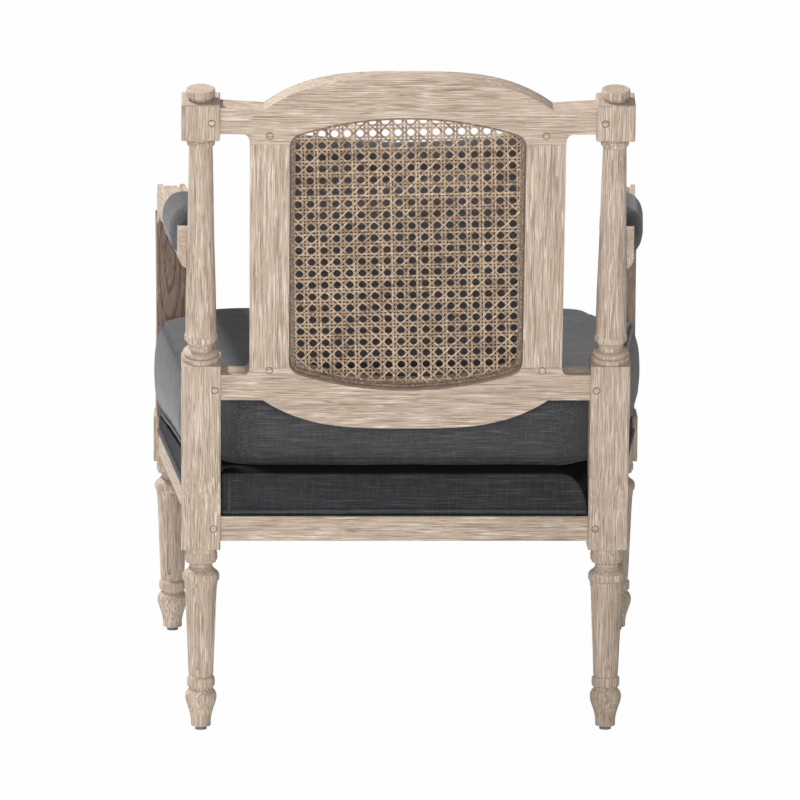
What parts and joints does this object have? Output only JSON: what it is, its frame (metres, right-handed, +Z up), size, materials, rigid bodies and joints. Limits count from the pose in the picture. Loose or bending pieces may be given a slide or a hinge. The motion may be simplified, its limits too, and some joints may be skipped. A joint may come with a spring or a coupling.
{
  "type": "armchair",
  "caption": "Cane-back armchair with turned posts and legs, an arched crest, padded arms with scroll fronts, a loose seat cushion and a loose back pillow.",
  "frame": {"origin": "on the floor, in the middle of the chair's width and depth", "axes": "+Z up, -Y the way the chair faces, +X the sitter's left"},
  "size_m": [0.6574, 0.6548, 0.8693],
  "materials": {
    "limed_wood": "limed, with pale filled grain",
    "plain_wood": "unfinished",
    "cane": "split cane, greyed",
    "charcoal_cloth": "plain slubbed weave",
    "black_cloth": "thin lining",
    "webbing": "woven strap",
    "zinc": "zinc plated",
    "glide": "moulded"
  },
  "bodies": {
    "chair_frame": {"rear_leg_left": "limed_wood", "rear_leg_right": "limed_wood", "finial_left": "limed_wood", "finial_right": "limed_wood", "front_leg_left": "limed_wood", "front_leg_right": "limed_wood", "front_seat_rail": "limed_wood", "rear_seat_rail": "limed_wood", "side_seat_rail_left": "limed_wood", "side_seat_rail_right": "limed_wood", "crest_rail": "limed_wood", "lower_back_rail": "limed_wood", "back_stile_left": "limed_wood", "back_stile_right": "limed_wood", "cane_panel": "cane", "cane_spline": "cane", "arm_left": "limed_wood", "arm_right": "limed_wood", "arm_support_left": "limed_wood", "arm_support_right": "limed_wood", "arm_pad_left": "charcoal_cloth", "arm_pad_right": "charcoal_cloth", "corner_blocks": "plain_wood", "corner_screws": "zinc", "wood_plugs": "limed_wood", "joint_dowels": "plain_wood", "foot_glides": "glide", "seat_webbing": "webbing", "seat_deck": "charcoal_cloth", "dust_cover": "black_cloth"},
    "seat_cushion_body": {"seat_cushion": "charcoal_cloth"},
    "back_pillow_body": {"back_pillow": "charcoal_cloth"}
  },
  "joints": [
    {"name": "cushion_lift", "type": "slide", "parent": "chair_frame", "child": "seat_cushion_body", "axis": [0, 0, 1], "range_m": [0, 0.09]},
    {"name": "pillow_lift", "type": "slide", "parent": "seat_cushion_body", "child": "back_pillow_body", "axis": [0, 0, 1], "range_m": [0, 0.3]}
  ]
}
